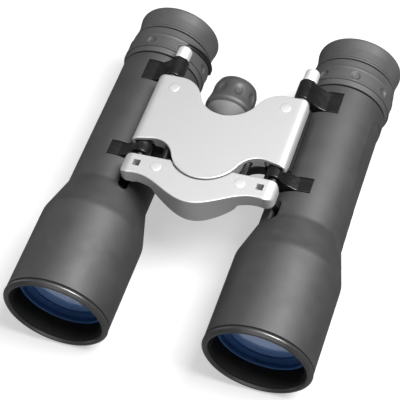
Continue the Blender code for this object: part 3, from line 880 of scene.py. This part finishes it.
def add_grip_ring(side, finishes):
    """The dimpled ring behind the seam, with a ridge at each end of its dimples."""
    body = "dioptre_ring" if side == "right" else side + "_barrel"
    outside = rounded([(SEAM + 0.3, 13.5), (SEAM + 0.3, 15.75, 0.3), (116.0, 15.95, 0.3),
                       (116.25, 16.55, 0.15), (116.9, 16.55, 0.3), (117.3, 16.4, 0.4),
                       (121.7, 16.4, 0.4), (122.1, 16.6, 0.3), (122.6, 16.6, 0.3),
                       (123.1, 16.3, 0.4), (126.3, 16.2, 0.5), (126.3, 13.5)], 5)
    add(side + "_ring", revolve(dense(outside, 0.25), axis_of(side), FINEST,
                                side=SIDES[side], relief=dimple_relief),
        finishes["rubber"], body, [side + "_grip_ring"], sharp=50)


def add_eyepiece(side, finishes):
    """Stop ring, flared eyecup and eye lens."""
    body = side + "_ocular" if side == "right" else side + "_barrel"
    axis = axis_of(side)
    ring = rounded([(126.95, 13.4), (126.95, 15.95, 0.3), (127.95, 15.95, 0.3),
                    (127.95, 13.4)])
    add(side + "_stop", revolve(ring, axis), finishes["rubber"], body,
        [side + "_stop_ring"])
    cup = rounded([(128.15, 13.5), (128.15, 15.85, 0.35), (129.6, 15.7, 3.0),
                   (132.5, 15.75, 6.0), (136.0, 16.35, 2.0), (CUP_END, 16.35, 0.9),
                   (CUP_END, 13.1, 0.7), (131.9, 11.5, 0.4), (131.9, 9.6, 0.3),
                   (130.8, 9.6, 0.2), (130.8, 13.5)], 6)
    add(side + "_cup", revolve(cup, axis), finishes["rubber"], body, [side + "_eyecup"])
    eye = bulge(129.1, 0.6, 10.4, 10) + bulge(124.4, 1.4, 10.4, 10)[::-1]
    add(side + "_eye_glass", revolve(eye, axis), finishes["eye_lens"], body,
        [side + "_eye_lens"])


def add_band(name, side, body, finishes, angles, stations):
    """A pair of black ribs that climb round the inner side of an eyepiece ring."""
    bm = bmesh.new()
    steps = 48
    rings = []
    for step in range(steps + 1):
        share = step / steps
        angle = math.radians(angles[0] + (angles[1] - angles[0]) * share)
        station = stations[0] + (stations[1] - stations[0]) * share
        ends = smooth_step(share / 0.12) * smooth_step((1 - share) / 0.05)
        rise = BAND_RISE * ends * (0.7 + 0.3 * share)
        half = BAND_WIDTH / 2 * (0.7 + 0.3 * smooth_step(share / 0.5))
        ring = []
        for along, up in BAND_CORNERS:
            radius = BAND_BASE + rise * up
            x = SIDES[side] * (AXIS_X + radius * math.cos(angle))
            ring.append(bm.verts.new(place(x, station + half * along,
                                           radius * math.sin(angle))))
        rings.append(ring)
    add(name, closed_skin(bm, rings), finishes["band"], body)


# ---- bridge

def bridge_outline(edge):
    """The bridge from above out to x = edge: tongue, bays, cheeks and the knob notch."""
    tongue = Vector((0, TONGUE_STATION))
    bay = Vector(BAY_CENTRE)
    notch = Vector((0, NOTCH_STATION))
    cheek = Vector(CHEEK_CENTRE)
    bay_radius = (bay - tongue).length - TONGUE_RADIUS
    cheek_radius = (cheek - notch).length - NOTCH_RADIUS
    bay_lean = math.degrees(math.atan2(bay.y - tongue.y, bay.x - tongue.x))
    cheek_lean = math.degrees(math.atan2(cheek.y - notch.y, cheek.x - notch.x))
    half = arc(tongue, TONGUE_RADIUS, -90, bay_lean, 26)
    half += arc(bay, bay_radius, 180 + bay_lean, 78, 22)[1:]
    half += bend((edge - 1.4, BRIDGE_CORNER + 0.4), (edge, BRIDGE_CORNER),
                 (edge, BRIDGE_CORNER + 1.3), 6)
    half += arc((edge - REAR_CORNER, BRIDGE_REAR - REAR_CORNER), REAR_CORNER, 0, 90, 12)
    half += arc(cheek, cheek_radius, 90, 180 + cheek_lean, 18)
    half += arc(notch, NOTCH_RADIUS, cheek_lean, -90, 26)[1:]
    return both_halves(half)


def bridge_side(drop, edge, squareness=1.0):
    """The bridge's upper or lower profile from the middle to x = edge, round the rod.

    A squareness of 1 gives an ellipse, and a smaller one a tighter corner.
    """
    corner = edge - ROD_X + 0.2
    profile = [(0.0, ROD_HEIGHT + drop)]
    for step in range(15):
        lean = math.radians(90 * step / 14)
        profile.append((ROD_X + corner * math.sin(lean) ** squareness,
                        ROD_HEIGHT + drop * max(0.0, math.cos(lean)) ** squareness))
    return profile


def bridge_pocket():
    """The hollow inside the bridge, from above."""
    half = [(7.4, 58.4), (11.0, 63.0), (12.6, 66.6), (12.6, 70.3), (27.6, 70.3),
            (27.6, 87.5), (12.4, 87.5), (9.5, 82.8)]
    return both_halves(half)


def bridge_cuts(pocket):
    """The cuts that both halves of the bridge share."""
    centre = (0.0, ROD_HEIGHT)
    cuts = [plate(bridge_pocket(), *pocket), cylinder(centre, 3.7, 72.8, 90.0),
            cylinder(centre, 2.2, 50.0, 60.0)]
    for side, sign in SIDES.items():
        cuts.append(cylinder(rod_of(side), 2.2, 60.0, 104.0))
        for (inner, outer), top in KNUCKLE_ROOMS:
            room = sorted((sign * inner, sign * outer))
            cuts.append(block(room, (60.0, 68.9), (8.0, top)))
    return cuts


def screw_head(top):
    """A nearly flat screw head as (height, radius) points from its pole to its foot."""
    steps = 6
    flat = SCREW_RADIUS - SCREW_RIM
    crown = [(top + SCREW_HEIGHT - SCREW_DOME * (step / steps) ** 2, flat * step / steps)
             for step in range(steps + 1)]
    rim = arc((top + SCREW_HEIGHT - SCREW_DOME - SCREW_RIM, flat), SCREW_RIM, 0, 90, steps)[1:]
    return crown + rim + [(top - 0.5, SCREW_RADIUS), (top - 0.7, 0.8), (top - 2.5, 0.8),
                          (top - 2.5, 0)]


def add_screw(side, name, spot, top, body, finishes):
    """A screw; the cut for its counterbore, a little smaller than its head, is returned."""
    x, station = SIDES[side] * spot[0], spot[1]
    add(f"{side}_{name}_dome", upright(screw_head(top), x, station), finishes["screw"], body,
        [f"{side}_{name}_screw"])
    radius = SCREW_RADIUS - SCREW_OVERLAP
    return upright([(top + 2, 0), (top + 2, radius), (top - 0.8, radius), (top - 0.8, 0)],
                   x, station)


def add_bridge(finishes):
    """The silver cover, the wider black base under it, its near black partly painted shade in the
    gap under the cover, and the cover's screws.
    """
    cover_cuts = bridge_cuts((BASE_BOTTOM, BRIDGE_TOP - SKIN))
    for side, sign in SIDES.items():
        cover_cuts += [add_screw(side, "cover", COVER_SCREW, BRIDGE_TOP, "bridge", finishes),
                       cylinder((sign * PIN_X, PIN_HEIGHT), PIN_HOLE, 60, 72)]
    flat = [(0.0, SPLIT + HALF_GAP), (COVER_SIDE, SPLIT + HALF_GAP)]
    cover = shaped_plate(bridge_outline(COVER_SIDE), flat,
                         bridge_side(BRIDGE_RISE, COVER_SIDE, COVER_SQUARENESS), EDGE_RADIUS)
    add("cover", combined(cover, cover_cuts), finishes["silver"], "bridge",
        ["bridge_cover"], weighted=True)
    # The base's near-black finish is partly painted shade in the gap under the cover
    flat = [(0.0, SPLIT - HALF_GAP), (BRIDGE_SIDE, SPLIT - HALF_GAP)]
    base = shaped_plate(bridge_outline(BRIDGE_SIDE), bridge_side(-BRIDGE_DROP, BRIDGE_SIDE),
                        flat, EDGE_RADIUS)
    add("base", combined(base, bridge_cuts((BASE_BOTTOM + SKIN, BRIDGE_TOP))),
        finishes["base"], "bridge", ["bridge_base"], weighted=True)


def add_rods(side, finishes):
    """Hinge rod, light end cap and friction washer."""
    rod = rounded([(52.8, 0), (52.8, 1.9, 0.3), (109.5, 1.9), (109.5, 1.2), (113.0, 1.2),
                   (113.0, 0)])
    add(side + "_rod", revolve(rod, rod_of(side), SMALL), finishes["dark_steel"], "bridge",
        [side + "_hinge_rod"])
    cap = rounded([(113.3, 0), (113.3, 1.5), (109.8, 1.5), (109.8, CAP_VISIBLE, 0.15),
                   (115.0, CAP_VISIBLE, 0.6), (115.9, 2.0, 0.4), (115.9, 0)])
    add(side + "_cap", revolve(cap, rod_of(side), SMALL), finishes["cap"], "bridge",
        [side + "_rod_cap"])
    washer = rounded([(98.75, 2.2), (98.75, 3.2, 0.2), (100.2, 3.2, 0.2), (100.2, 2.2)])
    add(side + "_washer", revolve(washer, rod_of(side), SMALL), finishes["steel"], "bridge",
        [side + "_friction_washer"])


def knob_relief(angle, station):
    """Oval finger dimples round the knob."""
    pitch = 360 / KNOB_DIMPLES
    turn = angle % pitch - pitch / 2
    width, length = KNOB_DIMPLE_SIZE
    spread = math.hypot(math.radians(turn) * KNOB_RADIUS / width,
                        (station - KNOB_DIMPLE_STATION) / length)
    return -KNOB_DIMPLE_DEPTH * smooth_step((1.15 - spread) / 0.7)


def add_knob(finishes):
    """The rubber focus knob, its lighter front face on the core, and its end cap."""
    centre = (0.0, ROD_HEIGHT)
    face = rounded([(85.35, 2.4), (85.35, 4.0, 0.4), (88.8, 7.98, 0.15), (89.2, 7.6),
                    (87.0, 5.0), (98.6, 5.0), (98.6, 2.4)])
    add("knob_face", revolve(face, centre, MEDIUM), finishes["knob_face"], "focus_knob",
        ["knob_core"], sharp=50)
    grip = rounded([(88.2, 5.9), (85.7, 4.35, 0.25), (89.6, 8.85, 1.2), (90.5, 9.05, 1.0),
                    (93.0, 8.6, 3.0), (99.0, 8.2, 3.0), (101.5, 7.4, 2.2),
                    (101.5, 5.9)], 8)
    add("grip", revolve(dense(grip, 0.3), centre, FINER, relief=knob_relief),
        finishes["knob"], "focus_knob", ["knob_grip"], sharp=50)
    cap = rounded([(99.0, 0), (99.0, 5.6), (101.4, 5.6, 0.3), (101.4, 0)])
    add("knob_disc", revolve(cap, centre, MEDIUM), finishes["knob"], "focus_knob",
        ["knob_cap"])


def arm_outline():
    """The focus arm from above: a wave in front, two ends and a bay round the tongue."""
    steps = 40
    inner_end = ARM_END - ARM_CORNER
    half = []
    for step in range(steps + 1):
        x = inner_end * step / steps
        wave = (1 - math.cos(math.pi * x / ARM_WAVE_WIDTH)) / 2
        half.append((x, ARM_FRONT + ARM_WAVE * wave))
    depth = ARM_CORNER_REAR - half[-1][1]
    half += curve((inner_end, ARM_CORNER_REAR), (ARM_CORNER, depth), -90, 0, 12)[1:]
    half += arc((ARM_END - 1.6, ARM_REAR - 1.6), 1.6, 0, 90, 8)
    clear = TONGUE_RADIUS + 0.7
    lean = -math.degrees(math.asin((TONGUE_STATION - ARM_REAR) / clear))
    half += arc((0, TONGUE_STATION), clear, lean, -90, 26)
    return both_halves(half)


def arm_top():
    """The arm's upper profile from the middle to the rounded end."""
    end = ARM_END - ARM_CORNER
    return [(0.0, ARM_TOP)] + curve((end, ARM_EDGE_HEIGHT),
                                    (ARM_CORNER + 0.4, ARM_TOP - ARM_EDGE_HEIGHT), 90, 0, 12)


def arm_bottom():
    """The arm's underside from the middle: a bowl under the nut, then a flat wing."""
    bowl = curve((0, ROD_HEIGHT), ARM_BOWL, -90, -8, 20)
    return bowl + [(ARM_BOWL[0] + 0.6, ARM_UNDERSIDE), (ARM_END, ARM_UNDERSIDE)]


def add_arm(finishes):
    """The silver focus arm with its screws and guide pins."""
    joins = []
    cuts = []
    for side, sign in SIDES.items():
        rod = rod_of(side)
        joins += [cylinder(rod, EYE_RADIUS, 53.0, FINGER[0] - 0.3),
                  cylinder(rod, EYE_RADIUS, FINGER[1] + 0.3, ARM_REAR - 0.2)]
        window = sorted((sign * WINDOW[0], sign * WINDOW[1]))
        cuts += [block(window, WINDOW_STATIONS, (14.0, 25.0)),
                 cylinder((sign * PIN_X, PIN_HEIGHT), PIN_HOLE, 53, 62),
                 add_screw(side, "arm", ARM_SCREW, ARM_TOP, "focus_arm", finishes)]
        pin = rounded([(53.3, 0), (53.3, 1.2), (80.0, 1.2, 0.3), (80.0, 0)])
        add(side + "_pin", revolve(pin, (sign * PIN_X, PIN_HEIGHT), SMALL),
            finishes["dark_steel"], "focus_arm", [side + "_guide_pin"])
    cuts.append(cylinder((0, ROD_HEIGHT), 3.5, 45.6, 56.0))
    cuts += [cylinder(rod_of(side), 2.2, 52.5, 64.0) for side in SIDES]
    arm = shaped_plate(arm_outline(), arm_bottom(), arm_top(), EDGE_RADIUS)
    add("arm", combined(arm, cuts, joins), finishes["silver"], "focus_arm", ["focus_arm"],
        weighted=True)


def finish_cad_nodes(finishes):
    """Procedural finishes for the inner CAD nodes that are kept."""
    kept = {"focus_bush": "brass", "focus_nut": "brass", "focus_screw": "steel"}
    for side in SIDES:
        for name in ("barrel_tube", "prism_cage", "ocular_tube"):
            kept[side + "_" + name] = "inside"
        for name in ("half_prism", "roof_prism", "field_lens"):
            kept[side + "_" + name] = "clear"
        kept[side + "_focus_link"] = "black"
    for name, finish in kept.items():
        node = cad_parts[name]
        material, slot = finishes[finish]
        node.data.materials.clear()
        node.data.materials.append(material)


# ---- studio

TARGET = (-3.2, 60.74, 0.0)
AZIMUTH = 26.53
ELEVATION = 52.75
ROLL = -10.03
DISTANCE = 527.4
FOCAL_LENGTH = 129.1
SENSOR = 36.0

# The sky's brightness from straight down (0) to straight up (1)
SKY = ((0.0, 0.28), (0.40, 0.16), (0.5, 0.06), (0.65, 0.05), (1.0, 0.28))

# Azimuth, elevation, distance in metres, size in metres and power in watts
LIGHTS = {"key": (90.0, 60.0, 1.1, 0.55, 33.0), "top": (0.0, 88.0, 1.3, 1.0, 5.0),
          "fill": (-95.0, 14.0, 1.2, 1.0, 3.0), "front": (5.0, 22.0, 1.2, 1.0, 3.0)}


def direction(azimuth, elevation):
    """The unit vector from the object towards a viewer or a light."""
    a, e = math.radians(azimuth), math.radians(elevation)
    return Vector((math.sin(a) * math.cos(e), -math.cos(a) * math.cos(e), math.sin(e)))


def add_camera():
    """The camera, above and in front of the object and a little to its left."""
    data = bpy.data.cameras.new("camera")
    data.sensor_width = SENSOR
    data.lens = FOCAL_LENGTH
    data.clip_start = 0.01
    data.clip_end = 20
    camera = bpy.data.objects.new("camera", data)
    bpy.context.scene.collection.objects.link(camera)
    back = direction(AZIMUTH, ELEVATION)
    across = Vector((math.cos(math.radians(AZIMUTH)), math.sin(math.radians(AZIMUTH)), 0))
    up = back.cross(across)
    c, s = math.cos(math.radians(ROLL)), math.sin(math.radians(ROLL))
    right, top = across * c + up * s, up * c - across * s
    turn = Matrix((right, top, back)).transposed().to_4x4()
    camera.matrix_world = Matrix.Translation(place(*TARGET) + back * DISTANCE * MM) @ turn
    bpy.context.scene.camera = camera


def add_light(name, azimuth, elevation, distance, size, power):
    """A soft square light aimed at the object."""
    data = bpy.data.lights.new(name, "AREA")
    data.size = size
    data.energy = power
    light = bpy.data.objects.new(name, data)
    bpy.context.scene.collection.objects.link(light)
    away = direction(azimuth, elevation)
    light.location = away * distance
    light.rotation_mode = "QUATERNION"
    light.rotation_quaternion = away.to_track_quat("Z", "Y")


def add_sky():
    """Surroundings that are dark at the horizon and brighter above and below."""
    world = bpy.data.worlds.new("studio")
    world.use_nodes = True
    where = new_node(world, "ShaderNodeTexCoord")
    split = new_node(world, "ShaderNodeSeparateXYZ")
    rise = new_node(world, "ShaderNodeMapRange", From_Min=-1.0)
    ramp = new_node(world, "ShaderNodeValToRGB")
    elements = ramp.color_ramp.elements
    while len(elements) < len(SKY):
        elements.new(0.5)
    for element, (position, level) in zip(elements, SKY):
        element.position = position
        element.color = (level, level, level, 1)
    connect(world, where.outputs["Generated"], split.inputs["Vector"])
    connect(world, split.outputs["Z"], rise.inputs["Value"])
    connect(world, rise.outputs["Result"], ramp.inputs["Fac"])
    connect(world, ramp.outputs["Color"], world.node_tree.nodes["Background"].inputs["Color"])
    bpy.context.scene.world = world


def add_studio():
    """Pale floor, even surroundings and soft lights."""
    bm = bmesh.new()
    bmesh.ops.create_grid(bm, x_segments=1, y_segments=1, size=3.0)
    floor = as_object("floor", bm)
    material = new_material("floor", (0.26, 0.26, 0.26), 0.9, Emission_Color=(1, 1, 1, 1),
                            Emission_Strength=0.5)
    vary_roughness(material, 2.0, 0.85, 0.95)
    floor.data.materials.append(material)
    floor.visible_glossy = False
    add_sky()
    for name, values in LIGHTS.items():
        add_light(name, *values)
    bpy.context.scene.view_settings.view_transform = "Standard"


def main():
    """Build every visible piece and the studio."""
    finishes = make_finishes()
    for side in SIDES:
        add_armour(side, finishes)
        add_rim(side, finishes)
        add_objective(side, finishes)
        add_brackets(side, finishes)
        add_grip_ring(side, finishes)
        add_eyepiece(side, finishes)
        add_rods(side, finishes)
    add_band("dioptre_band", "right", "dioptre_ring", finishes, **DIOPTRE_BAND)
    add_band("stop_band", "left", "left_barrel", finishes, **STOP_BAND)
    add_bridge(finishes)
    add_knob(finishes)
    add_arm(finishes)
    finish_cad_nodes(finishes)
    add_camera()
    add_studio()


main()
